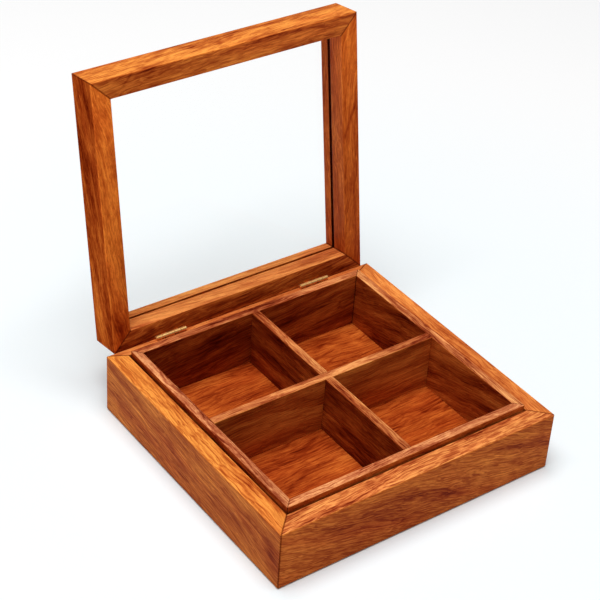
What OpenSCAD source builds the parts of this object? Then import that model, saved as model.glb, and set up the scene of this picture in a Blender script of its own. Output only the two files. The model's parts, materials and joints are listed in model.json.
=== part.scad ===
// Wooden spice box with four compartments and a hinged lid with a clear pane.
// Millimetres, +Z up. X runs left to right, Y runs front to back, the hinges are at the back.
// Origin: centre of the base's underside. The lid is drawn open, leaning back on its stop.

/* [Base] */
// outside width of the base, left to right
base_w = 205; // [195:1:225]
// outside depth of the base, front to back
base_d = 192; // [180:1:210]
// height of the base from the table to the rim
base_h = 42; // [40:1:55]
// thickness of the front, left and right boards
rim_t = 12.5; // [12:0.5:14]
// thickness of the back board
back_t = 6.5; // [6.5:0.5:8]
// thickness of the bottom panel
panel_t = 6; // [4:0.5:7]
// how far the bottom panel reaches under the front, left and right boards
rebate = 6; // [4:0.5:7]

/* [Liner and dividers] */
// gap between the boards and the liner
liner_gap = 1.1; // [0.8:0.1:1.5]
// thickness of the liner boards
liner_t = 5.6; // [5:0.1:6.5]
// how far the liner stands above the rim
lip = 3.8; // [3.8:0.1:5]
// thickness of the dividers
divider_t = 5.8; // [4:0.1:7]
// how far the front-to-back divider sits right of the middle
divider_right = 1.7; // [0:0.1:4]
// how far the left-to-right divider sits behind the middle
divider_back = 1.7; // [0:0.1:4]

/* [Lid] */
// how far the lid is set back from the sides of the base
lid_side_in = 5.5; // [4:0.5:7]
// how far the lid is set back from the front of the base
lid_front_in = 10.5; // [8:0.5:12]
// thickness of the lid frame
lid_t = 23; // [21:0.5:28]
// width of the lid rails
rail_w = 13; // [12:0.5:15]
// distance from the lid's underside to the groove that holds the pane
groove_up = 13; // [10:0.5:15.5]
// thickness of the clear pane
pane_t = 1.5; // [1.5:0.1:3]
// play of the pane in its groove; the open lid's pane leans on the far side
pane_play = 1; // [0:0.1:1]
// depth of the groove that holds the pane
groove = 5; // [3:0.5:6]
// how far the lid is opened, in degrees from closed
open_angle = 98.5; // [0:0.5:98.5]

/* [Hinges] */
// distance from the middle of the box to the middle of each hinge
hinge_x = 56; // [40:1:70]
// length of each hinge
hinge_l = 22; // [22:0.5:30]
// radius of the hinge knuckle
knuckle_r = 1.2; // [1.2:0.1:1.5]
// radius of the hinge pin
pin_r = 0.5; // [0.5:0.05:0.7]
// thickness of the hinge leaf
leaf_t = 0.8; // [0.6:0.1:1]
// depth of each hinge leaf in its saw cut
leaf_in = 12; // [9:0.5:13]

/* [Hidden] */
$fn = 48;
e = 1;
arris = 1.2;
corner = 1.0;
foot = 1.5;
running = 0.05;
knuckle_gap = 0.25;
bed = 0.05;
axis_in = 2.3;

x0 = base_w / 2;
y0 = base_d / 2;
back_rebate = min(rebate, back_t - 3);
liner_x = x0 - rim_t - liner_gap;
liner_f = -y0 + rim_t + liner_gap;
liner_b = y0 - back_t - liner_gap;
liner_h = base_h + lip;
in_x = liner_x - liner_t;
in_f = liner_f + liner_t;
in_b = liner_b - liner_t;
cross_x = divider_right;
cross_y = (in_f + in_b) / 2 + divider_back;
lap_z = (panel_t + liner_h) / 2;

axis_y = y0 - axis_in;
axis_z = base_h + lip / 2;
lid_z = liner_h + bed;
lid_x = x0 - lid_side_in;
lid_f = -y0 + lid_front_in;
lid_b = y0;
knuckle_l = (hinge_l - 4 * knuckle_gap) / 5;
nail_r = 0.6;
nail_head_r = 1.4;
nail_head_h = 0.6;
nail_dome_r = (nail_head_r * nail_head_r + nail_head_h * nail_head_h) / (2 * nail_head_h);
nail_x = hinge_l / 2 - 5;
base_nail_z = base_h - leaf_in / 2;
lid_nail_z = lid_z + leaf_in / 2;

wood = "#a9602b";
dark = "#8a4420";
brass = "#c9a45a";
clear = "#dfe9ea";

// what is taken off a corner at (x, y) to round it; (sx, sy) points to the inside
module off_corner(x, y, sx, sy, r) {
  difference() {
    translate([sx > 0 ? x - e : x - r, sy > 0 ? y - e : y - r]) square([r + e, r + e]);
    translate([x + sx * r, y + sy * r]) circle(r = r);
  }
}

// a board's end view: u = 0 is the outer face, v = 0 the lower face
module end_view(t, h, out_low, out_top, in_low, in_top) {
  difference() {
    square([t, h]);
    if (out_low > 0) off_corner(0, 0, 1, 1, out_low);
    if (out_top > 0) off_corner(0, h, 1, -1, out_top);
    if (in_low > 0) off_corner(t, 0, -1, 1, in_low);
    if (in_top > 0) off_corner(t, h, -1, -1, in_top);
  }
}

// end view swept left to right, outer face towards the front at y = -d
module run_x(half, d) {
  translate([-half - e, -d, 0]) rotate([90, 0, 90]) linear_extrude(height = 2 * (half + e)) children();
}

// end view swept front to back, outer face towards the left at x = -d
module run_y(front, back, d) {
  translate([-d, back + e, 0]) rotate([90, 0, 0]) linear_extrude(height = back - front + 2 * e) children();
}

// plan of a mitred board: the outer corners a and b, the inner corners c and d
module mitres(a, b, c, d, low, high) {
  k = 0.2;
  translate([0, 0, low - e]) linear_extrude(height = high - low + 2 * e)
    polygon([a + k * (a - d), b + k * (b - c), c + k * (c - b), d + k * (d - a)]);
}

// rounds one upright corner; (sx, sy) points to the outside
module upright_round(x, y, sx, sy, low, high) {
  translate([0, 0, low - e]) linear_extrude(height = high - low + 2 * e) off_corner(x, y, -sx, -sy, corner);
}

// ---- base ----
module base_end(t, r) {
  difference() {
    end_view(t, base_h, foot, arris, 0, 0.5);
    translate([t - r, -e]) square([r + e, panel_t + e]);
  }
}

module base_front_board() {
  color(wood) difference() {
    intersection() {
      run_x(x0, y0) base_end(rim_t, rebate);
      mitres([-x0, -y0], [x0, -y0], [x0 - rim_t, -y0 + rim_t], [-x0 + rim_t, -y0 + rim_t], 0, base_h);
    }
    upright_round(-x0, -y0, -1, -1, 0, base_h);
    upright_round(x0, -y0, 1, -1, 0, base_h);
  }
}

module base_back_board() {
  color(wood) difference() {
    intersection() {
      mirror([0, 1, 0]) run_x(x0, y0) base_end(back_t, back_rebate);
      mitres([-x0, y0], [x0, y0], [x0 - rim_t, y0 - back_t], [-x0 + rim_t, y0 - back_t], 0, base_h);
    }
    upright_round(-x0, y0, -1, 1, 0, base_h);
    upright_round(x0, y0, 1, 1, 0, base_h);
    for (s = [-1, 1]) {
      translate([s * hinge_x - hinge_l / 2, axis_y - leaf_t / 2, base_h - leaf_in])
        cube([hinge_l, leaf_t, leaf_in + e]);
      for (n = [-1, 1]) nail_hole(s * hinge_x + n * nail_x, y0, y0 - back_t + 1, base_nail_z);
    }
  }
}

module side_plan(low, high) {
  mitres([-x0, y0], [-x0, -y0], [-x0 + rim_t, -y0 + rim_t], [-x0 + rim_t, y0 - back_t], low, high);
}

module base_left_board() {
  color(wood) difference() {
    intersection() {
      run_y(-y0, y0, x0) base_end(rim_t, rebate);
      side_plan(0, base_h);
    }
    upright_round(-x0, -y0, -1, -1, 0, base_h);
    upright_round(-x0, y0, -1, 1, 0, base_h);
  }
}

module base_right_board() {
  mirror([1, 0, 0]) base_left_board();
}

module base_bottom_panel() {
  color(dark) translate([-x0 + rim_t - rebate, -y0 + rim_t - rebate, 0])
    cube([base_w - 2 * (rim_t - rebate), base_d - rim_t + rebate - back_t + back_rebate, panel_t]);
}

// ---- liner ----
module liner_end() {
  end_view(liner_t, liner_h - panel_t, 0, 0.6, 0, 0.6);
}

module liner_front_board() {
  color(dark) intersection() {
    translate([0, 0, panel_t]) run_x(liner_x, -liner_f) liner_end();
    mitres([-liner_x, liner_f], [liner_x, liner_f], [in_x, in_f], [-in_x, in_f], panel_t, liner_h);
  }
}

module liner_back_board() {
  color(dark) intersection() {
    translate([0, 0, panel_t]) mirror([0, 1, 0]) run_x(liner_x, liner_b) liner_end();
    mitres([-liner_x, liner_b], [liner_x, liner_b], [in_x, in_b], [-in_x, in_b], panel_t, liner_h);
  }
}

module liner_left_board() {
  color(dark) intersection() {
    translate([0, 0, panel_t]) run_y(liner_f, liner_b, liner_x) liner_end();
    mitres([-liner_x, liner_b], [-liner_x, liner_f], [-in_x, in_f], [-in_x, in_b], panel_t, liner_h);
  }
}

module liner_right_board() {
  mirror([1, 0, 0]) liner_left_board();
}

// ---- dividers, halved together where they cross ----
module divider_end() {
  end_view(divider_t, liner_h - panel_t, 0, 0.6, 0, 0.6);
}

module divider_left_to_right() {
  color(dark) difference() {
    translate([-in_x, cross_y - divider_t / 2, panel_t]) rotate([90, 0, 90])
      linear_extrude(height = 2 * in_x) divider_end();
    translate([cross_x - divider_t / 2, cross_y - divider_t, panel_t - e])
      cube([divider_t, 2 * divider_t, lap_z - panel_t + e]);
  }
}

module divider_front_to_back() {
  color(dark) difference() {
    translate([cross_x - divider_t / 2, in_b, panel_t]) rotate([90, 0, 0])
      linear_extrude(height = in_b - in_f) divider_end();
    translate([cross_x - divider_t, cross_y - divider_t / 2, lap_z])
      cube([2 * divider_t, divider_t, liner_h - lap_z + e]);
  }
}

// ---- lid, drawn closed and then opened ----
module opened() {
  translate([0, axis_y, axis_z]) rotate([-open_angle, 0, 0]) translate([0, -axis_y, -axis_z]) children();
}

module rail_end() {
  difference() {
    end_view(rail_w, lid_t, arris, 1.5, 0.5, 0.8);
    translate([rail_w - groove, groove_up]) square([groove + e, pane_t + pane_play]);
  }
}

module lid_front_rail() {
  color(wood) opened() difference() {
    intersection() {
      translate([0, 0, lid_z]) run_x(lid_x, -lid_f) rail_end();
      mitres([-lid_x, lid_f], [lid_x, lid_f], [lid_x - rail_w, lid_f + rail_w], [-lid_x + rail_w, lid_f + rail_w], lid_z, lid_z + lid_t);
    }
    upright_round(-lid_x, lid_f, -1, -1, lid_z, lid_z + lid_t);
    upright_round(lid_x, lid_f, 1, -1, lid_z, lid_z + lid_t);
  }
}

module lid_hinge_rail() {
  color(wood) opened() difference() {
    intersection() {
      translate([0, 0, lid_z]) mirror([0, 1, 0]) run_x(lid_x, lid_b) rail_end();
      mitres([-lid_x, lid_b], [lid_x, lid_b], [lid_x - rail_w, lid_b - rail_w], [-lid_x + rail_w, lid_b - rail_w], lid_z, lid_z + lid_t);
    }
    upright_round(-lid_x, lid_b, -1, 1, lid_z, lid_z + lid_t);
    upright_round(lid_x, lid_b, 1, 1, lid_z, lid_z + lid_t);
    for (s = [-1, 1]) {
      translate([s * hinge_x - hinge_l / 2, axis_y - leaf_t / 2, lid_z - e])
        cube([hinge_l, leaf_t, leaf_in + e]);
      for (n = [-1, 1]) nail_hole(s * hinge_x + n * nail_x, lid_b, y0 - 6, lid_nail_z);
    }
  }
}

module lid_left_rail() {
  color(wood) opened() difference() {
    intersection() {
      translate([0, 0, lid_z]) run_y(lid_f, lid_b, lid_x) rail_end();
      mitres([-lid_x, lid_b], [-lid_x, lid_f], [-lid_x + rail_w, lid_f + rail_w], [-lid_x + rail_w, lid_b - rail_w], lid_z, lid_z + lid_t);
    }
    upright_round(-lid_x, lid_f, -1, -1, lid_z, lid_z + lid_t);
    upright_round(-lid_x, lid_b, -1, 1, lid_z, lid_z + lid_t);
  }
}

module lid_right_rail() {
  mirror([1, 0, 0]) lid_left_rail();
}

module lid_window_pane() {
  color(clear, 0.4) opened()
    translate([-lid_x + rail_w - groove + 0.5, lid_f + rail_w - groove + 0.5, lid_z + groove_up + pane_play])
      cube([2 * (lid_x - rail_w + groove - 0.5), lid_b - lid_f - 2 * (rail_w - groove + 0.5), pane_t]);
}

// ---- hinges: the leaves stand in saw cuts and are nailed through from behind ----
module nail_hole(x, from_y, to_y, z) {
  translate([x, from_y + e, z]) rotate([90, 0, 0]) cylinder(r = nail_r, h = from_y - to_y + e);
}

module nail(x, from_y, to_y, z) {
  translate([x, from_y + 0.2, z]) rotate([90, 0, 0]) cylinder(r = nail_r, h = from_y - to_y + 0.2);
  intersection() {
    translate([x, from_y + nail_head_h - nail_dome_r, z]) sphere(r = nail_dome_r);
    translate([x - 2, from_y, z - 2]) cube([4, 2, 4]);
  }
}

// knuckles number the hinge's five barrels from the left, 0 to 4
module barrel(hx, i, low, high) {
  x = hx - hinge_l / 2 + i * (knuckle_l + knuckle_gap);
  translate([x, axis_y, axis_z]) rotate([0, 90, 0]) cylinder(r = knuckle_r, h = knuckle_l);
  translate([x, axis_y - leaf_t / 2, low]) cube([knuckle_l, leaf_t, high - low]);
}

module bore(hx, r) {
  translate([hx - hinge_l / 2 - e, axis_y, axis_z]) rotate([0, 90, 0]) cylinder(r = r, h = hinge_l + 2 * e);
}

module base_leaf(hx) {
  color(brass) difference() {
    union() {
      translate([hx - hinge_l / 2, axis_y - leaf_t / 2, base_h - leaf_in]) cube([hinge_l, leaf_t, leaf_in]);
      for (i = [0, 2, 4]) barrel(hx, i, base_h - 2, axis_z);
    }
    bore(hx, pin_r);
    for (n = [-1, 1]) nail_hole(hx + n * nail_x, y0, y0 - back_t, base_nail_z);
  }
}

module lid_leaf(hx) {
  color(brass) opened() difference() {
    union() {
      translate([hx - hinge_l / 2, axis_y - leaf_t / 2, lid_z]) cube([hinge_l, leaf_t, leaf_in]);
      for (i = [1, 3]) barrel(hx, i, axis_z, lid_z + 2);
    }
    bore(hx, pin_r + running);
    for (n = [-1, 1]) nail_hole(hx + n * nail_x, lid_b, y0 - 6, lid_nail_z);
  }
}

module hinge_pin(hx) {
  color(brass) translate([hx - hinge_l / 2 - 0.3, axis_y, axis_z]) rotate([0, 90, 0])
    cylinder(r = pin_r, h = hinge_l + 0.6);
}

module base_nails(hx) {
  color(brass) for (n = [-1, 1]) nail(hx + n * nail_x, y0, y0 - back_t + 1, base_nail_z);
}

module lid_nails(hx) {
  color(brass) opened() for (n = [-1, 1]) nail(hx + n * nail_x, lid_b, y0 - 6, lid_nail_z);
}

module hinge_left_base_leaf() { base_leaf(-hinge_x); }
module hinge_right_base_leaf() { base_leaf(hinge_x); }
module hinge_left_lid_leaf() { lid_leaf(-hinge_x); }
module hinge_right_lid_leaf() { lid_leaf(hinge_x); }
module hinge_left_pin() { hinge_pin(-hinge_x); }
module hinge_right_pin() { hinge_pin(hinge_x); }
module hinge_left_base_nails() { base_nails(-hinge_x); }
module hinge_right_base_nails() { base_nails(hinge_x); }
module hinge_left_lid_nails() { lid_nails(-hinge_x); }
module hinge_right_lid_nails() { lid_nails(hinge_x); }

base_front_board();
base_back_board();
base_left_board();
base_right_board();
base_bottom_panel();
liner_front_board();
liner_back_board();
liner_left_board();
liner_right_board();
divider_left_to_right();
divider_front_to_back();
lid_front_rail();
lid_hinge_rail();
lid_left_rail();
lid_right_rail();
lid_window_pane();
hinge_left_base_leaf();
hinge_right_base_leaf();
hinge_left_lid_leaf();
hinge_right_lid_leaf();
hinge_left_pin();
hinge_right_pin();
hinge_left_base_nails();
hinge_right_base_nails();
hinge_left_lid_nails();
hinge_right_lid_nails();
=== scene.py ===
import json
import math

import bpy
from mathutils import Matrix, Vector


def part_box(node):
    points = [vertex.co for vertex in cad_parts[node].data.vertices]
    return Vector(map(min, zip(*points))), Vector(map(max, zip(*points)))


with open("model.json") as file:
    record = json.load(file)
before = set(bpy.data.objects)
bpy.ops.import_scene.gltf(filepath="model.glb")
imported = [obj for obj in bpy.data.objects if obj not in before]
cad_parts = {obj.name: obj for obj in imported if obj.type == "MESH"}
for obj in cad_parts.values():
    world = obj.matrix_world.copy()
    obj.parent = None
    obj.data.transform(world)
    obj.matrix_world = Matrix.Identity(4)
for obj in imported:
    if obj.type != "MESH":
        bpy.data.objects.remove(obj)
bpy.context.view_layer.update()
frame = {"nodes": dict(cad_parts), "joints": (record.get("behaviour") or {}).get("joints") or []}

NODES = frame["nodes"]
scene = bpy.context.scene

# ---------------------------------------------------------------- camera
# A pinhole camera at the photograph's viewing angle. Angles in degrees, lengths in metres.
YAW, PITCH, ROLL = -37.6525, 35.3126, -4.0143
FOCAL_PX, FRAME_PX = 1783.2, 600.0
AIM = Vector((0.07424801 * 0.205, -0.42363627 * 0.205, -5.50763179 * 0.205))


def add_camera():
    a, e, r = (math.radians(v) for v in (YAW, PITCH, ROLL))
    back = Vector((math.sin(a) * math.cos(e), -math.cos(a) * math.cos(e), math.sin(e)))
    right = Vector((math.cos(a), math.sin(a), 0.0))
    up = back.cross(right)
    right2 = right * math.cos(r) - up * math.sin(r)
    up2 = right * math.sin(r) + up * math.cos(r)
    turn = Matrix((right2, up2, back)).transposed()
    data = bpy.data.cameras.new("camera")
    data.sensor_width = 36.0
    data.lens = FOCAL_PX / FRAME_PX * data.sensor_width
    data.clip_start, data.clip_end = 0.05, 50.0
    cam = bpy.data.objects.new("camera", data)
    cam.matrix_world = Matrix.Translation(-(turn @ AIM)) @ turn.to_4x4()
    scene.collection.objects.link(cam)
    scene.camera = cam
    return cam


camera = add_camera()

# ---------------------------------------------------------------- geometry of the frame, for textures
HINGE = frame["joints"][0]
AXIS = Vector(HINGE["pos_m"])
OPEN = math.radians(98.5)


def rows(u, v, w):
    return Matrix((Vector(u), Vector(v), Vector(w)))


def board_matrix(u, v, w, origin, lid=False, slant=0.0, dive=0.0):
    """4x4 from row-frame metres to a board's own axes: u along the grain, v across it, w outwards.
    slant turns the grain in the face, dive tilts it into the face, both in degrees."""
    turn = rows(u, v, w).to_4x4() @ Matrix.Translation(-Vector(origin))
    if lid:
        back = Matrix.Translation(AXIS) @ Matrix.Rotation(OPEN, 4, "X") @ Matrix.Translation(-AXIS)
        turn = turn @ back
    tilt = Matrix.Rotation(math.radians(-slant), 4, "Z") @ Matrix.Rotation(math.radians(-dive), 4, "Y")
    return tilt @ turn


# ---------------------------------------------------------------- node helpers
class Tree:
    def __init__(self, mat):
        self.mat = mat
        mat.use_nodes = True
        self.t = mat.node_tree
        for n in list(self.t.nodes):
            self.t.nodes.remove(n)
        self.x = 0

    def new(self, kind, **values):
        n = self.t.nodes.new(kind)
        n.location = (self.x, 0)
        self.x += 40
        for k, v in values.items():
            setattr(n, k, v)
        return n

    def link(self, a, b):
        self.t.links.new(a, b)

    def put(self, socket, value):
        if isinstance(value, bpy.types.NodeSocket):
            self.link(value, socket)
        else:
            socket.default_value = value

    def math(self, op, a, b=None, c=None, clamp=False):
        n = self.new("ShaderNodeMath", operation=op, use_clamp=clamp)
        for i, v in enumerate((a, b, c)):
            if v is not None:
                self.put(n.inputs[i], v)
        return n.outputs[0]

    def vmath(self, op, a, b=None):
        n = self.new("ShaderNodeVectorMath", operation=op)
        self.put(n.inputs[0], a)
        if b is not None:
            self.put(n.inputs[1], b)
        return n.outputs[1] if op in ("DOT_PRODUCT", "LENGTH", "DISTANCE") else n.outputs[0]

    def split(self, v):
        n = self.new("ShaderNodeSeparateXYZ")
        self.link(v, n.inputs[0])
        return n.outputs

    def join(self, x, y, z):
        n = self.new("ShaderNodeCombineXYZ")
        for i, v in enumerate((x, y, z)):
            self.put(n.inputs[i], v)
        return n.outputs[0]

    def noise(self, vec, scale=1.0, detail=2.0, rough=0.5, distort=0.0):
        n = self.new("ShaderNodeTexNoise", noise_dimensions="3D", normalize=True)
        self.link(vec, n.inputs["Vector"])
        n.inputs["Scale"].default_value = scale
        n.inputs["Detail"].default_value = detail
        n.inputs["Roughness"].default_value = rough
        n.inputs["Distortion"].default_value = distort
        return n.outputs["Fac"]

    def map(self, value, lo, hi, to_lo=0.0, to_hi=1.0, smooth=True):
        n = self.new("ShaderNodeMapRange", interpolation_type="SMOOTHSTEP" if smooth else "LINEAR")
        n.clamp = True
        self.put(n.inputs["Value"], value)
        for k, v in (("From Min", lo), ("From Max", hi), ("To Min", to_lo), ("To Max", to_hi)):
            n.inputs[k].default_value = v
        return n.outputs[0]

    def ramp(self, value, stops):
        n = self.new("ShaderNodeValToRGB")
        els = n.color_ramp.elements
        while len(els) < len(stops):
            els.new(0.5)
        for el, (p, c) in zip(els, stops):
            el.position = p
        for el, (p, c) in zip(els, stops):
            el.color = (*c, 1.0)
        self.put(n.inputs[0], value)
        return n.outputs["Color"]

    def mix(self, fac, a, b, mode="MIX"):
        n = self.new("ShaderNodeMix", data_type="RGBA", blend_type=mode)
        self.put(n.inputs[0], fac)
        for s, v in ((n.inputs[6], a), (n.inputs[7], b)):
            self.put(s, v if isinstance(v, bpy.types.NodeSocket) else (*v, 1.0))
        return n.outputs[2]

    def blend(self, fac, a, b):
        n = self.new("ShaderNodeMix", data_type="VECTOR")
        for i, v in ((0, fac), (4, a), (5, b)):
            self.put(n.inputs[i], v)
        return n.outputs[1]

    def principled(self, colour, rough, **sockets):
        bsdf = self.new("ShaderNodeBsdfPrincipled")
        self.put(bsdf.inputs["Base Color"], colour)
        self.put(bsdf.inputs["Roughness"], rough)
        for k, v in sockets.items():
            self.put(bsdf.inputs[k.replace("_", " ")], v)
        return bsdf

    def output(self, shader):
        out = self.new("ShaderNodeOutputMaterial")
        self.link(shader, out.inputs["Surface"])


# ---------------------------------------------------------------- wood
def tone_colour(v):
    """Lacquered rosewood from dark heart streaks (0) to golden sapwood (1)."""
    r = 0.06 + 0.86 * v ** 1.25
    return (r, 0.40 * r ** 1.75, 0.075 * r ** 1.9)


TONES = [(i / 10.0, tone_colour(i / 10.0)) for i in range(11)]


def wood(name, matrix, size, seed, tone=0.62, hue=1.0, faces=(), slant=0.0, dive=0.0, grain=None, band=1.0, gap=11.0,
         line=0.0, stroke=1.0, dash=(6.5, 0.95), fibre=1.0, mottle=0.0, wave=1.0, spread=1.6, rim=1.0, rough=0.40,
         shine=0.02, ends=(1.0, 1.0), slot=None, shade=(0.05, 0.03, 0.02), marks=()):
    """A board's material. matrix takes row-frame metres to the board's axes: u along it, v across, w outwards.
    size is its (u, v, w) size in mm. tone is its average place on TONES, and hue turns it from red (below 1) to
    gold (above 1). faces gives painted light and shade on the "top", "low" and "in" faces: what is added to tone
    there, lighter or darker by how each face is lit, and a green and blue tint there, which on tops paints a sheen.
    slant and dive tilt the growth bands within the outer face and within the top face, in degrees, and
    grain the short strokes, whose length and width are dash. gap is a band's width in mm.
    spread is how strong the figure is, and rim how much stronger on the top face.
    ends are the mitre slopes at both ends, or None. slot is a groove's (low, high) in v, and shade is the colour of the
    shadow painted there.
    marks are broad streaks: (face, along, across, half length, half width, angle, strength)."""
    mat = bpy.data.materials.new(name)
    t = Tree(mat)
    grain = slant if grain is None else grain
    coord = t.new("ShaderNodeTexCoord")
    loc, rot, flip = matrix.decompose()  # flip is -1 where a board's axes are left-handed
    mapping = t.new("ShaderNodeMapping", vector_type="POINT")
    t.link(coord.outputs["Object"], mapping.inputs["Vector"])
    mapping.inputs["Location"].default_value = loc
    mapping.inputs["Rotation"].default_value = rot.to_euler("XYZ")
    mapping.inputs["Scale"].default_value = flip
    p = t.vmath("MULTIPLY", mapping.outputs[0], (1000.0, 1000.0, 1000.0))  # millimetres
    off = (seed * 137.3 % 411.0, seed * 71.9 % 293.0, seed * 53.1 % 367.0)
    q = t.vmath("ADD", p, off)
    pu, pv, pw = t.split(p)
    normal = t.new("ShaderNodeMapping", vector_type="VECTOR")
    t.link(coord.outputs["Normal"], normal.inputs["Vector"])
    normal.inputs["Rotation"].default_value = rot.to_euler("XYZ")
    normal.inputs["Scale"].default_value = flip
    su, sv, sw = t.split(normal.outputs[0])
    nu, nv, nw = (t.math("ABSOLUTE", c) for c in (su, sv, sw))
    facing = {"top": t.map(sv, 0.45, 0.95), "low": t.map(t.math("MULTIPLY", sv, -1.0), 0.45, 0.95),
              "in": t.map(t.math("MULTIPLY", sw, -1.0), 0.45, 0.95)}
    flat = t.math("GREATER_THAN", nv, 0.707)

    def turned(vec, up, out):
        """vec with the grain direction laid along its first axis."""
        n = t.new("ShaderNodeMapping", vector_type="POINT")
        t.link(vec, n.inputs["Vector"])
        n.inputs["Rotation"].default_value = (0.0, math.radians(out), math.radians(-up))
        return n.outputs[0]

    # the fibres wander, slowly and quickly
    slow = t.new("ShaderNodeTexNoise", noise_dimensions="3D")
    t.link(t.vmath("MULTIPLY", q, (0.012, 0.022, 0.022)), slow.inputs["Vector"])
    slow.inputs["Scale"].default_value = 1.0
    slow.inputs["Detail"].default_value = 1.5
    quick = t.new("ShaderNodeTexNoise", noise_dimensions="3D")
    t.link(t.vmath("MULTIPLY", q, (0.07, 0.13, 0.13)), quick.inputs["Vector"])
    quick.inputs["Scale"].default_value = 1.0
    quick.inputs["Detail"].default_value = 2.0
    half = (-0.5, -0.5, -0.5)
    w1 = t.vmath("MULTIPLY", t.vmath("ADD", slow.outputs["Color"], half), (0.0, 14.0 * wave, 14.0 * wave))
    w2 = t.vmath("MULTIPLY", t.vmath("ADD", quick.outputs["Color"], half), (0.0, 3.0 * wave, 3.0 * wave))
    warp = t.vmath("ADD", w1, w2)
    g = t.vmath("ADD", q, warp)
    gb = t.blend(flat, turned(g, slant, 0.0), turned(g, 0.0, dive))
    gs = t.blend(flat, turned(g, grain, 0.0), turned(g, 0.0, dive))

    # growth bands, and the thin dark lines that part some of them
    bands = t.noise(t.vmath("MULTIPLY", gb, (0.016, 1.0 / gap, 1.0 / gap)), 1.0, 3.0, 0.55)
    value = t.math("MULTIPLY", t.math("SUBTRACT", bands, 0.5), 0.62 * band)
    if line:
        ring = t.noise(t.vmath("MULTIPLY", gb, (0.010, 1.25 / gap, 1.25 / gap)), 1.0, 1.0, 0.4)
        near = t.math("ABSOLUTE", t.math("SUBTRACT", t.math("FRACT", t.math("MULTIPLY", ring, 5.0)), 0.5))
        thin = t.map(near, 0.0, 0.16, 1.0, 0.0)
        part = t.map(t.noise(t.vmath("MULTIPLY", gb, (0.03, 0.10, 0.10)), 1.0, 1.0, 0.5), 0.44, 0.60)
        value = t.math("ADD", value, t.math("MULTIPLY", t.math("MULTIPLY", thin, part), -line))

    # short strokes and long fibres
    short = t.noise(t.vmath("MULTIPLY", gs, (1.0 / dash[0], 1.0 / dash[1], 1.0 / dash[1])), 1.0, 1.0, 0.5)
    short = t.map(short, 0.34, 0.66, -1.0, 1.0)
    thread = t.noise(t.vmath("MULTIPLY", gs, (0.03, 1.5, 1.5)), 1.0, 2.0, 0.55)
    thread_c = t.math("SUBTRACT", thread, 0.5)
    value = t.math("ADD", value, t.math("MULTIPLY", short, 0.085 * stroke))
    value = t.math("ADD", value, t.math("MULTIPLY", thread_c, 0.34 * fibre))
    if mottle:
        one = t.noise(t.vmath("MULTIPLY", turned(g, grain + 16, dive + 16), (0.20, 0.62, 0.62)), 1.0, 2.0, 0.55)
        two = t.noise(t.vmath("MULTIPLY", turned(g, grain - 18, dive - 18), (0.20, 0.62, 0.62)), 1.0, 2.0, 0.55)
        fleck = t.math("SUBTRACT", t.math("MAXIMUM", one, two), 0.56)
        value = t.math("ADD", value, t.math("MULTIPLY", fleck, -mottle))

    value = t.math("MULTIPLY", value, spread)
    if rim != 1.0:
        value = t.math("MULTIPLY", value, t.math("ADD", t.math("MULTIPLY", facing["top"], rim - 1.0), 1.0))

    # broad streaks and patches at given places; a few of them are painted shade, noted where each board is made
    soft = t.vmath("ADD", p, t.vmath("MULTIPLY", warp, (0.0, 0.5, 0.5)))
    for face, along, across, length, width, angle, strength in marks:
        m = t.new("ShaderNodeMapping", vector_type="TEXTURE")
        t.link(soft, m.inputs["Vector"])
        if face in ("out", "in"):
            m.inputs["Location"].default_value = (along, across, size[2] / 2 if face == "out" else -size[2] / 2)
            m.inputs["Rotation"].default_value = (0.0, 0.0, math.radians(angle))
            m.inputs["Scale"].default_value = (length, width, 3.5)
        else:
            m.inputs["Location"].default_value = (along, size[1] / 2 if face == "top" else -size[1] / 2, across)
            m.inputs["Rotation"].default_value = (0.0, math.radians(-angle), 0.0)
            m.inputs["Scale"].default_value = (length, 3.5, width)
        far = t.vmath("DOT_PRODUCT", m.outputs[0], m.outputs[0])
        hump = t.math("EXPONENT", t.math("MULTIPLY", far, -1.0))
        ragged = t.math("ADD", t.math("MULTIPLY", thread_c, 0.9), 1.0)
        value = t.math("ADD", value, t.math("MULTIPLY", t.math("MULTIPLY", hump, ragged), strength))

    tint = (1.0, hue, hue * hue)
    # painted light and shade: each face's tone is raised or lowered by how it is lit, and its tint on tops paints a
    # light sheen
    for face, face_light, green, blue in faces:
        value = t.math("ADD", value, t.math("MULTIPLY", facing[face], face_light))
        tint = t.mix(facing[face], tint, (1.0, green, blue))
    # painted highlight: rounded arrises are painted a little lighter, as if catching the light
    arris_highlight = t.math("MULTIPLY", t.math("MULTIPLY", nv, nw), 2.0)
    value = t.math("ADD", value, t.math("MULTIPLY", arris_highlight, 0.10))
    value = t.math("ADD", value, tone)
    colour = t.mix(1.0, t.ramp(value, TONES), tint, "MULTIPLY")

    # patches of redder wood
    red = t.noise(t.vmath("MULTIPLY", gb, (0.012, 0.07, 0.07)), 1.0, 2.0, 0.5)
    colour = t.mix(t.map(red, 0.45, 0.72, 0.0, 0.55), colour, (1.0, 0.78, 0.80), "MULTIPLY")

    # open pores: thin dark dashes
    pore = t.noise(t.vmath("MULTIPLY", gs, (0.30, 3.6, 3.6)), 1.0, 1.0, 0.5)
    pore = t.map(pore, 0.63, 0.74)
    colour = t.mix(t.math("MULTIPLY", pore, 0.5), colour, (0.22, 0.10, 0.05), "MULTIPLY")

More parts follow.
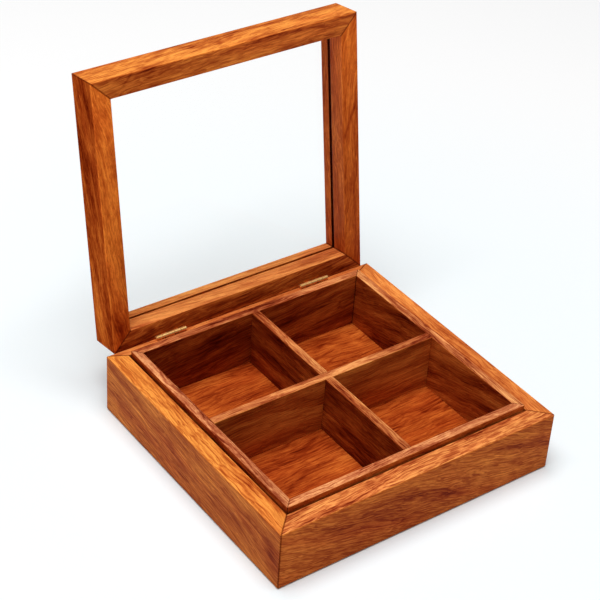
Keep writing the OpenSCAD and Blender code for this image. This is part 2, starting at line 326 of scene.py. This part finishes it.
    # glue lines at the mitres
    if ends:
        seam = None
        for sign, slope in zip((1.0, -1.0), ends):
            reach = t.math("ADD", t.math("MULTIPLY", pu, sign), size[0] / 2)
            depth = t.math("MULTIPLY", t.math("SUBTRACT", size[2] / 2, pw), slope)
            d = t.math("DIVIDE", t.math("SUBTRACT", reach, depth), math.sqrt(1 + slope * slope))
            seam = d if seam is None else t.math("MINIMUM", seam, d)
        seam = t.map(t.math("ABSOLUTE", seam), 0.12, 0.42, 1.0, 0.0)
        colour = t.mix(t.math("MULTIPLY", seam, 0.8), colour, (0.30, 0.18, 0.12), "MULTIPLY")
    # painted shadow: the pane's groove, and a thin strip of wall beside it, is darkened as shade
    if slot:
        groove_shadow = t.math("MULTIPLY", t.math("GREATER_THAN", pv, slot[0]), t.math("LESS_THAN", pv, slot[1]))
        groove_shadow = t.math("MULTIPLY", groove_shadow, t.math("LESS_THAN", pw, size[2] / 2 - 1.0))
        colour = t.mix(groove_shadow, colour, shade, "MULTIPLY")

    gloss = t.math("ADD", t.math("MULTIPLY", thread, 0.16), rough - 0.08)
    gloss = t.math("ADD", gloss, t.math("MULTIPLY", pore, 0.12))
    height = t.math("SUBTRACT", t.math("MULTIPLY", thread, 0.35), t.math("MULTIPLY", pore, 0.6))
    bump = t.new("ShaderNodeBump")
    bump.inputs["Strength"].default_value = 0.35
    bump.inputs["Distance"].default_value = 0.00008
    t.link(height, bump.inputs["Height"])
    bsdf = t.principled(colour, gloss, Specular_IOR_Level=shine, Normal=bump.outputs[0])
    bsdf.inputs["IOR"].default_value = 1.45
    t.output(bsdf.outputs[0])
    return mat


X, Y, Z = (1, 0, 0), (0, 1, 0), (0, 0, 1)
NX, NY, NZ = (-1, 0, 0), (0, -1, 0), (0, 0, -1)


def centre(node):
    lo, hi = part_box(node)
    return (lo + hi) / 2


def closed_centre(node):
    """Middle of a lid piece where it lies when the lid is shut."""
    c = centre(node)
    back = Matrix.Translation(AXIS) @ Matrix.Rotation(OPEN, 4, "X") @ Matrix.Translation(-AXIS)
    return back @ c


def give(node, mat):
    o = NODES[node]
    o.data.materials.clear()
    o.data.materials.append(mat)
    for poly in o.data.polygons:
        poly.material_index = 0


def span(node, lid=False):
    """A board's size along its row axes in mm, as it lies when the lid is shut."""
    if not lid:
        lo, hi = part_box(node)
        return [(hi[i] - lo[i]) * 1000 for i in range(3)]
    back = Matrix.Translation(AXIS) @ Matrix.Rotation(OPEN, 4, "X") @ Matrix.Translation(-AXIS)
    pts = [back @ v.co for v in NODES[node].data.vertices]
    return [(max(p[i] for p in pts) - min(p[i] for p in pts)) * 1000 for i in range(3)]


def board(node, u, v, w, seed, lid=False, **look):
    sp = span(node, lid)
    size = [sum(abs(a[i]) * sp[i] for i in range(3)) for a in (u, v, w)]
    middle = closed_centre(node) if lid else centre(node)
    give(node, wood("wood_" + node, board_matrix(u, v, w, middle, lid), size, seed, **look))


board("base_front_board", X, Z, NY, 1.0, tone=0.555, hue=0.92, faces=[("top", 0.105, 1.05, 1.5)], slant=-16, grain=-15,
      dive=-2, band=0.6, gap=8, stroke=0.9, dash=(11, 0.9), rim=1.6, marks=[
          ("out", 60, 0, 40, 20, 0, 0.05), ("out", -8, 6, 34, 3.2, -20, -0.17), ("out", 20, -6, 14, 3.2, -15, -0.13), ("out", 75, 7, 24, 2.4, -18, -0.17),
          ("out", 93, 5, 8, 5.0, -30, -0.12), ("out", -60, 5, 20, 2.2, -22, -0.12), ("out", -44, -16, 14, 4.0, -8, -0.12),
          ("out", -14, -8, 30, 4.0, -25, -0.08), ("out", -89, -2, 14, 7.0, -10, 0.10), ("out", -37, 15, 16, 3.0, -12, 0.11),
          ("out", 41, 5, 16, 5.0, -10, 0.10),
          ("top", -88, -2.5, 9, 2.2, -8, -0.24), ("top", -75, -4.5, 20, 1.3, -2, -0.16), ("top", -97, 4.5, 6, 1.5, 0, 0.14),
          ("top", -52, 1.5, 26, 2.0, 3, 0.14), ("top", -62, 4.8, 12, 1.2, 0, -0.18), ("top", -14, 0.6, 10, 2.0, 0, 0.16),
          ("top", 5, -4.3, 22, 0.9, 0, -0.14), ("top", 20, 3.8, 9, 1.9, -3, -0.17), ("top", 62, -5.0, 26, 1.0, 0, -0.15),
          ("top", 93, 0.5, 9, 3.0, 0, 0.10)])
# the two dark lines along the top's inner edge, at across -4.8 and -5.6, are partly painted shade beside the liner and
# partly darker wood
board("base_left_board", NY, Z, NX, 2.0, ends=(6.5 / 12.5, 1.0), tone=0.57, hue=0.98, faces=[("top", 0.25, 1.0, 0.95)],
      slant=-8, grain=-7, dive=1, band=0.55, gap=10, line=0.06, stroke=0.45, dash=(16, 1.0), fibre=0.9, spread=2.4,
      rim=1.25, marks=[
          ("out", -50, 0, 48, 24, 0, 0.07), ("out", 50, 0, 48, 24, 0, -0.035), ("out", -52, 5, 14, 0.7, -8, -0.20), ("out", -24, 0, 12, 0.7, -7, -0.20), ("out", 3, -2, 12, 0.7, -2, -0.18),
          ("out", 20, -5, 9, 0.7, -16, -0.18), ("out", 38, -1.5, 18, 0.7, -3, -0.15), ("out", 6, 11, 18, 6.0, 0, 0.07),
          ("out", 88, 4, 8, 8.0, 0, -0.12), ("out", -88, -13, 12, 5.0, 0, 0.07), ("out", 57, 18, 35, 3.0, 0, 0.08),
          ("top", 50, -4.8, 45, 1.0, 0, -0.20), ("top", -50, -5.6, 50, 0.8, 0, -0.14), ("top", 30, -1.2, 30, 0.4, 0, -0.13),
          ("top", 62, 1.5, 32, 0.4, 0, -0.12), ("top", 75, 4.2, 20, 0.7, 0, -0.20), ("top", -14, 5.0, 16, 0.6, 0, -0.12),
          ("top", -82, 2.0, 15, 0.7, 1, -0.16), ("top", -55, 2.9, 15, 0.5, 1, -0.14), ("top", 60, 0.2, 30, 1.0, 0, 0.06)])
board("base_right_board", NY, Z, X, 3.0, ends=(6.5 / 12.5, 1.0), tone=0.56, hue=0.92, faces=[("top", 0.13, 1.0, 1.22)],
      slant=6, dive=-2, band=0.7, line=0.08, stroke=0.7, dash=(12, 0.9), marks=[
          ("top", -10, -3.3, 62, 0.55, 0, -0.42), ("top", 20, -1.8, 30, 1.6, 0, -0.15), ("top", -92, 0, 8, 6.0, 0, -0.10),
          ("top", -48, 3.0, 30, 1.6, 0, 0.12), ("top", 78, -1.5, 18, 2.0, 0, -0.07),
          ("out", -30, 4, 40, 3.0, 7, -0.16), ("out", 50, -6, 25, 3.0, 5, -0.14)])
board("base_back_board", X, Z, Y, 4.0, ends=(12.5 / 6.5, 12.5 / 6.5), tone=0.54, hue=0.92, faces=[("top", 0.14, 1.0, 1.3)],
      slant=-5, band=0.8, line=0.08, stroke=0.7, dash=(12, 0.9), marks=[
          ("out", -30, 5, 45, 3.0, -5, -0.16), ("out", 55, -4, 30, 2.5, -6, -0.14)])
# its tone is set low so the compartment floors read dark: partly painted shade, partly the panel's darker wood
board("base_bottom_panel", X, Y, Z, 5.0, ends=None, tone=0.42, hue=0.85, gap=16, line=0.10, stroke=0.6, dash=(14, 1.0))
INNER = dict(hue=0.94, stroke=0.5, dash=(14, 0.9), fibre=0.9, spread=1.9, rim=1.5)
board("liner_front_board", X, Z, NY, 6.0, tone=0.50, faces=[("top", 0.11, 1.19, 2.5)], mottle=0.2, gap=7, **INNER)
board("liner_back_board", X, Z, Y, 7.0, tone=0.37, faces=[("top", 0.19, 1.2, 2.3)], gap=9, slant=6, marks=[
    ("in", -45, 0, 35, 20, 0, -0.07), ("in", 45, 0, 35, 20, 0, 0.04), ("in", -40, 8, 30, 2.0, 6, -0.10),
    ("in", 40, 2, 26, 2.0, 6, -0.10)], **INNER)
board("liner_left_board", NY, Z, NX, 8.0, tone=0.31, faces=[("top", 0.17, 1.28, 2.8)], mottle=0.2, gap=7, **INNER)
board("liner_right_board", NY, Z, X, 9.0, tone=0.42, faces=[("top", 0.25, 1.26, 2.3)], gap=10, slant=14, **INNER)
board("divider_left_to_right", X, Z, NY, 10.0, ends=None, tone=0.62, faces=[("top", -0.12, 1.17, 2.05)], gap=8, **INNER)
board("divider_front_to_back", NY, Z, NX, 11.0, ends=None, tone=0.34, faces=[("top", 0.21, 1.24, 2.1)], gap=8, marks=[
    ("top", 44, 0, 38, 8, 0, 0.14), ("top", -42, 0, 36, 8, 0, -0.055)], **INNER)
# where shadow is painted: the groove, 1.5 to 4.0 mm in v, widened 0.5 mm below and 0.1 mm above
SLOT = (1.5 - 0.5, 4.0 + 0.1)
board("lid_front_rail", X, Z, NY, 12.0, True, tone=0.72, hue=0.98, faces=[("low", -0.07, 0.82, 0.67)], slant=3, grain=8,
      dive=2, gap=6, band=0.9, line=0.05, stroke=0.6, dash=(9, 1.1), spread=2.2, slot=SLOT, marks=[
          ("out", -61, -6, 3.5, 7.0, -10, -0.18), ("out", -57, -9.5, 6, 2.0, -15, -0.22), ("out", -44, 3, 13, 3.0, 30, -0.20),
          ("out", -18, 1, 14, 2.6, -35, -0.15), ("out", -2, -4, 7, 2.0, 60, -0.17), ("out", 12, 3, 8, 3.0, 50, -0.11),
          ("out", -28, 9.5, 14, 1.6, 0, -0.15), ("out", 10, 9.8, 26, 1.0, 0, -0.12), ("out", 36, -2, 6, 1.6, 80, -0.12),
          ("out", 64, -1.5, 7, 5.0, 20, -0.14), ("out", 90, 0, 6, 3.5, 60, -0.10), ("out", -84, 3, 14, 6.0, 0, -0.05),
          ("out", -44, -4, 10, 2.6, -5, 0.13), ("out", -32, -3, 9, 4.0, 20, 0.09), ("out", -88, -5, 10, 3.0, 0, 0.09),
          ("out", 25, 0, 12, 5.5, 25, 0.10), ("out", 6, -8, 14, 2.5, 0, 0.10), ("out", 50, -5, 9, 3.2, 15, 0.14),
          ("out", 95, -8, 5, 3.0, 20, 0.13), ("out", 42, 7, 20, 2.0, 4, 0.08),
          ("low", -72, 3.5, 6, 0.8, 45, -0.20), ("low", -57, 6.0, 7, 0.9, 0, -0.18), ("low", 58, 4.3, 22, 0.8, -6, -0.18),
          ("low", 82, 1.0, 13, 0.8, -4, -0.15), ("low", -92, -2.5, 6, 1.4, 0, 0.10)])
# painted light and shade: the low face is darkened as shade, the in face lightened as light, and the dark line along
# the low face at across 6.3 paints the shadow at the joint with the base
board("lid_hinge_rail", X, Z, Y, 13.0, True, tone=0.62, hue=0.92, faces=[("low", -0.30, 1.0, 0.9), ("in", 0.175, 1.0, 1.35)],
      slant=-3, dive=-6, gap=7, stroke=0.5, dash=(14, 1.0), spread=1.9, slot=SLOT, shade=(1.0, 0.9, 0.8), marks=[
          ("low", 80, 3, 18, 3.0, 0, -0.14), ("low", -80, 5, 16, 2.2, 0, -0.12), ("low", 0, 6.3, 95, 0.7, 0, -0.20),
          ("low", 68, -4, 30, 1.6, 0, 0.08), ("low", -68, -2, 10, 2.0, -20, 0.08), ("low", -34, 0, 12, 1.6, -20, 0.06),
          ("in", -78, -6, 8, 4.0, 0, -0.10), ("in", -45, -3, 14, 1.0, -12, -0.10), ("in", 68, -3, 12, 4.5, 0, -0.12),
          ("in", -8, -3, 26, 4.0, 0, 0.07), ("in", 6, -8, 20, 1.6, -3, -0.06)])
board("lid_left_rail", NY, Z, NX, 14.0, True, tone=0.51, hue=0.76, faces=[("low", 0.24, 0.72, 0.50)], slant=12, grain=10,
      dive=9, gap=8, band=0.6, stroke=0.5, dash=(12, 1.2), mottle=0.25, spread=2.1, shine=0.0, slot=SLOT, marks=[
          ("out", 75, -5, 18, 4.0, 22, -0.27), ("out", 46, 6, 18, 3.0, 21, -0.20), ("out", 36, 0, 9, 10.0, 0, -0.10),
          ("out", 19, 3, 17, 3.2, 12, -0.22), ("out", -12, -2, 15, 1.7, 13, -0.17), ("out", -34, 4.5, 14, 1.4, 19, -0.14),
          ("out", 50, -3, 9, 5.0, 0, 0.14), ("out", -65, 4, 28, 7.0, 5, 0.20), ("out", -60, -7, 22, 1.2, 4, -0.10),
          ("low", 54, -1.3, 6, 1.3, 10, -0.18), ("low", 41, -3, 7, 1.6, 10, -0.18), ("low", -76, 1, 18, 4.5, 4, -0.34),
          ("low", -39, 5.5, 9, 1.1, 0, -0.22), ("low", -34, -4.5, 8, 1.1, 0, -0.20), ("low", 30, 2, 60, 2.2, 0, 0.07)])
board("lid_right_rail", NY, Z, X, 15.0, True, tone=0.60, hue=0.86, faces=[("low", 0.0, 0.72, 0.52), ("in", 0.05, 0.75, 0.75)],
      slant=4, grain=6, dive=7, gap=9, band=0.7, stroke=0.5, dash=(13, 1.1), mottle=0.15, spread=1.9, slot=SLOT,
      shade=(0.12, 0.08, 0.05), marks=[
          ("low", 18, 0, 14, 1.1, 25, -0.26), ("low", -55, 1, 32, 1.1, -1, -0.22), ("low", 65, 0, 24, 2.5, 0, 0.09)])


# ---------------------------------------------------------------- brass and clear pane
def brass(name, seed):
    mat = bpy.data.materials.new(name)
    t = Tree(mat)
    coord = t.new("ShaderNodeTexCoord")
    q = t.vmath("ADD", t.vmath("MULTIPLY", coord.outputs["Object"], (1000.0, 1000.0, 1000.0)), (seed * 31.0, seed * 17.0, 0.0))
    cloud = t.noise(t.vmath("MULTIPLY", q, (0.5, 0.5, 0.5)), 1.0, 4.0, 0.6)
    lines = t.noise(t.vmath("MULTIPLY", q, (6.0, 0.7, 0.7)), 1.0, 2.0, 0.5)
    colour = t.mix(t.map(cloud, 0.35, 0.7), (1.0, 0.62, 0.23), (0.95, 0.53, 0.17))
    rough = t.math("ADD", t.math("MULTIPLY", lines, 0.18), 0.30)
    bump = t.new("ShaderNodeBump")
    bump.inputs["Strength"].default_value = 0.25
    bump.inputs["Distance"].default_value = 0.00003
    t.link(lines, bump.inputs["Height"])
    bsdf = t.principled(colour, rough, Metallic=0.7, Normal=bump.outputs[0])
    t.output(bsdf.outputs[0])
    return mat


brass_base, brass_lid = brass("brass_base", 1.0), brass("brass_lid", 2.0)
for side in ("left", "right"):
    for part in ("base_leaf", "pin", "base_nails"):
        give(f"hinge_{side}_{part}", brass_base)
    for part in ("lid_leaf", "lid_nails"):
        give(f"hinge_{side}_{part}", brass_lid)


def clear_pane():
    mat = bpy.data.materials.new("clear_pane")
    t = Tree(mat)
    coord = t.new("ShaderNodeTexCoord")
    q = t.vmath("MULTIPLY", coord.outputs["Object"], (30.0, 30.0, 30.0))
    smear = t.noise(q, 1.0, 2.0, 0.5)
    rough = t.map(smear, 0.45, 0.75, 0.004, 0.02)
    glass = t.principled((0.995, 0.998, 0.997, 1.0), rough)
    glass.inputs["Transmission Weight"].default_value = 1.0
    glass.inputs["IOR"].default_value = 1.15
    clear = t.new("ShaderNodeBsdfTransparent")
    clear.inputs["Color"].default_value = (0.97, 0.98, 0.975, 1.0)
    path = t.new("ShaderNodeLightPath")
    through = t.math("MAXIMUM", path.outputs["Is Shadow Ray"], path.outputs["Is Diffuse Ray"])
    mixer = t.new("ShaderNodeMixShader")
    t.link(through, mixer.inputs[0])
    t.link(glass.outputs[0], mixer.inputs[1])
    t.link(clear.outputs[0], mixer.inputs[2])
    t.output(mixer.outputs[0])
    return mat


give("lid_window_pane", clear_pane())

# ---------------------------------------------------------------- edges and shading of the wooden boards
BOARDS = [n for n in NODES if n.startswith(("base_", "liner_", "divider_", "lid_")) and n != "lid_window_pane"]


def soften(o, width):
    for poly in o.data.polygons:
        poly.use_smooth = True
    weld = o.modifiers.new("weld", "WELD")
    weld.merge_threshold = 0.000002
    flat = o.modifiers.new("flat", "DECIMATE")
    flat.decimate_type = "DISSOLVE"
    flat.angle_limit = math.radians(0.6)
    bevel = o.modifiers.new("edge", "BEVEL")
    bevel.width = width
    bevel.segments = 2
    bevel.limit_method = "ANGLE"
    bevel.angle_limit = math.radians(28)
    bevel.harden_normals = True
    bevel.miter_outer = "MITER_ARC"


for n in BOARDS:
    soften(NODES[n], 0.00022)

# ---------------------------------------------------------------- floor and light
def floor():
    size = 6.0
    mesh = bpy.data.meshes.new("floor")
    mesh.from_pydata([(-size, -size, 0), (size, -size, 0), (size, size, 0), (-size, size, 0)], [], [(0, 1, 2, 3)])
    o = bpy.data.objects.new("floor", mesh)
    scene.collection.objects.link(o)
    mat = bpy.data.materials.new("floor")
    t = Tree(mat)
    coord = t.new("ShaderNodeTexCoord")
    # painted shadow: the floor is darker near the box, most in red, painting a soft shadow round it and cancelling the
    # warm light bounced off the wood; further out it is lighter and even
    reach = t.vmath("LENGTH", t.vmath("SUBTRACT", coord.outputs["Object"], (0.0, 0.02, 0.0)))
    shadowed_floor = t.mix(t.map(reach, 0.14, 0.55), (0.83, 0.885, 0.905), (0.93, 0.93, 0.93))
    bsdf = t.principled(shadowed_floor, 0.9, Specular_IOR_Level=0.1)
    t.output(bsdf.outputs[0])
    mesh.materials.append(mat)
    o.location = (0, 0, -0.0002)
    return o


floor()


def area(name, where, aim, size, power, size_y=None, colour=(1, 1, 1)):
    data = bpy.data.lights.new(name, "AREA")
    data.shape = "RECTANGLE" if size_y else "SQUARE"
    data.size = size
    if size_y:
        data.size_y = size_y
    data.energy = power
    data.color = colour
    o = bpy.data.objects.new(name, data)
    o.location = where
    o.rotation_euler = (Vector(aim) - Vector(where)).to_track_quat("-Z", "Y").to_euler()
    scene.collection.objects.link(o)
    return o


area("light_top", (-0.40, -0.16, 3.0), (0, 0, 0), 2.05, 110.0)
area("light_left", (-1.6, -0.7, 0.9), (0, 0, 0.05), 1.2, 1.1)

world = bpy.data.worlds.new("studio")
scene.world = world
world.use_nodes = True
world.node_tree.nodes["Background"].inputs["Color"].default_value = (1, 1, 1, 1)
world.node_tree.nodes["Background"].inputs["Strength"].default_value = 0.11

scene.view_settings.view_transform = "Standard"
scene.view_settings.look = "None"
scene.view_settings.exposure = 0.0
scene.view_settings.gamma = 1.0
